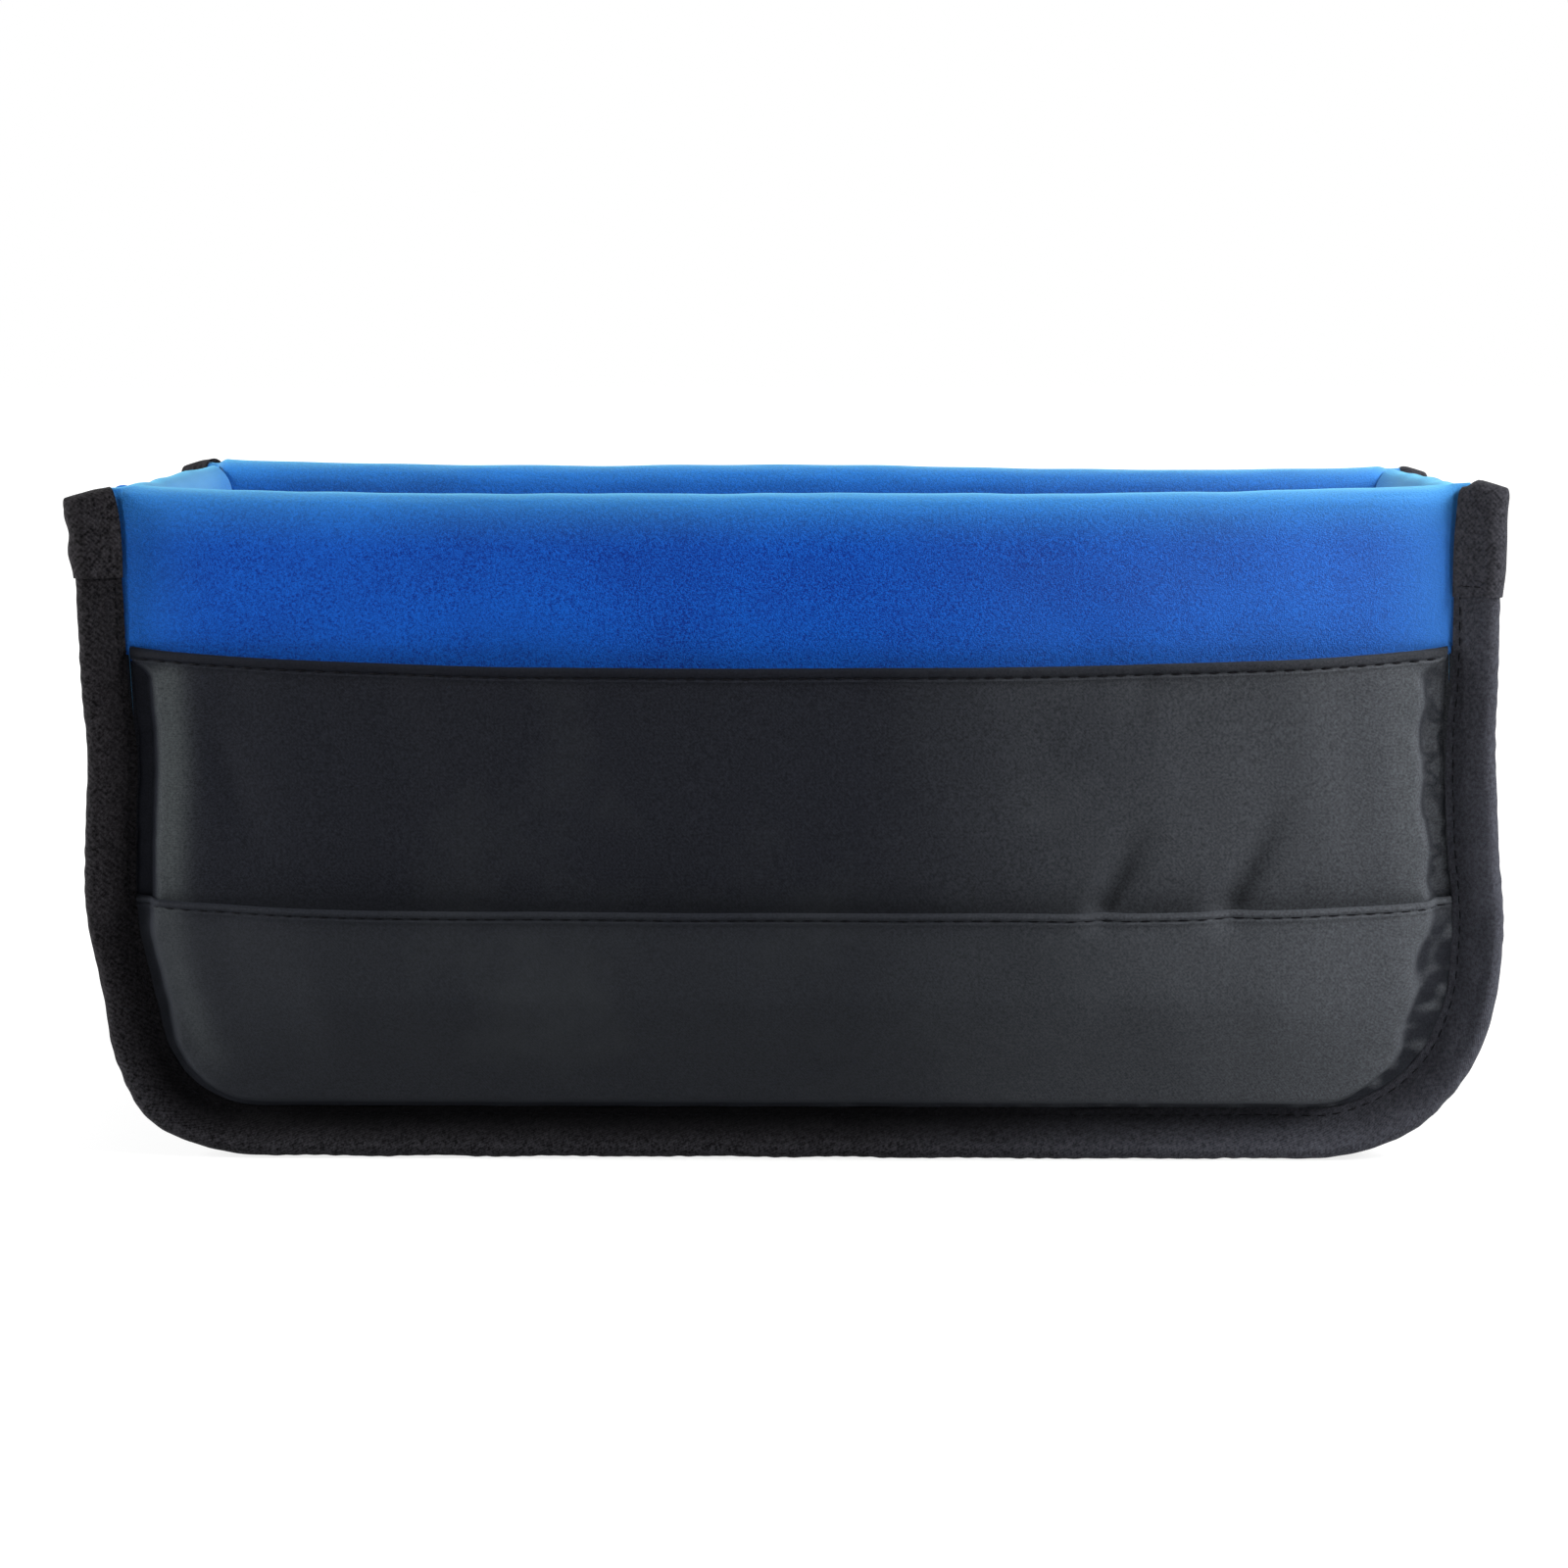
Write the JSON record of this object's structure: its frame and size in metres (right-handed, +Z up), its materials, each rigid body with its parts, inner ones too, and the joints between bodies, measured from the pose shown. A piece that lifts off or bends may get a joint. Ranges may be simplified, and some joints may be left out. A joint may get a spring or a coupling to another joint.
{
  "type": "camera insert pouch",
  "caption": "Padded open-top box of fleece over foam with bound outward seams, front slip pockets and lift-out dividers, made to drop into a bag.",
  "frame": {"origin": "middle of the whole pouch's footprint, on the surface that it stands on", "axes": "+X along the pouch to the right as seen from the pocket side, -Y out of the front with the pockets, +Z up"},
  "size_m": [0.28, 0.117, 0.1335],
  "materials": {
    "fleece": "matte",
    "nylon": "satin",
    "binding_tape": "matte",
    "cap_tape": "matte",
    "foam": "matte",
    "hook_tape": "matte"
  },
  "bodies": {
    "shell": {"front_foam": "foam", "front_lining": "fleece", "front_upper_pocket": "nylon", "front_lower_pocket": "nylon", "rear_foam": "foam", "rear_lining": "fleece", "rear_skin": "nylon", "left_end_foam": "foam", "base_foam": "foam", "right_end_foam": "foam", "gusset_lining": "fleece", "gusset_skin": "nylon", "front_binding": "binding_tape", "front_left_binding_cap": "cap_tape", "front_right_binding_cap": "cap_tape", "rear_binding": "binding_tape", "rear_left_binding_cap": "cap_tape", "rear_right_binding_cap": "cap_tape"},
    "divider_left": {"left_divider_core": "foam", "left_divider_cover": "fleece", "left_divider_front_hook_strip": "hook_tape", "left_divider_rear_hook_strip": "hook_tape"},
    "divider_right": {"right_divider_core": "foam", "right_divider_cover": "fleece", "right_divider_front_hook_strip": "hook_tape", "right_divider_rear_hook_strip": "hook_tape"}
  },
  "joints": [
    {"name": "divider_left_lift", "type": "slide", "parent": "shell", "child": "divider_left", "axis": [0, 0, 1], "range_m": [0, 0.135]},
    {"name": "divider_right_lift", "type": "slide", "parent": "shell", "child": "divider_right", "axis": [0, 0, 1], "range_m": [0, 0.135]}
  ]
}
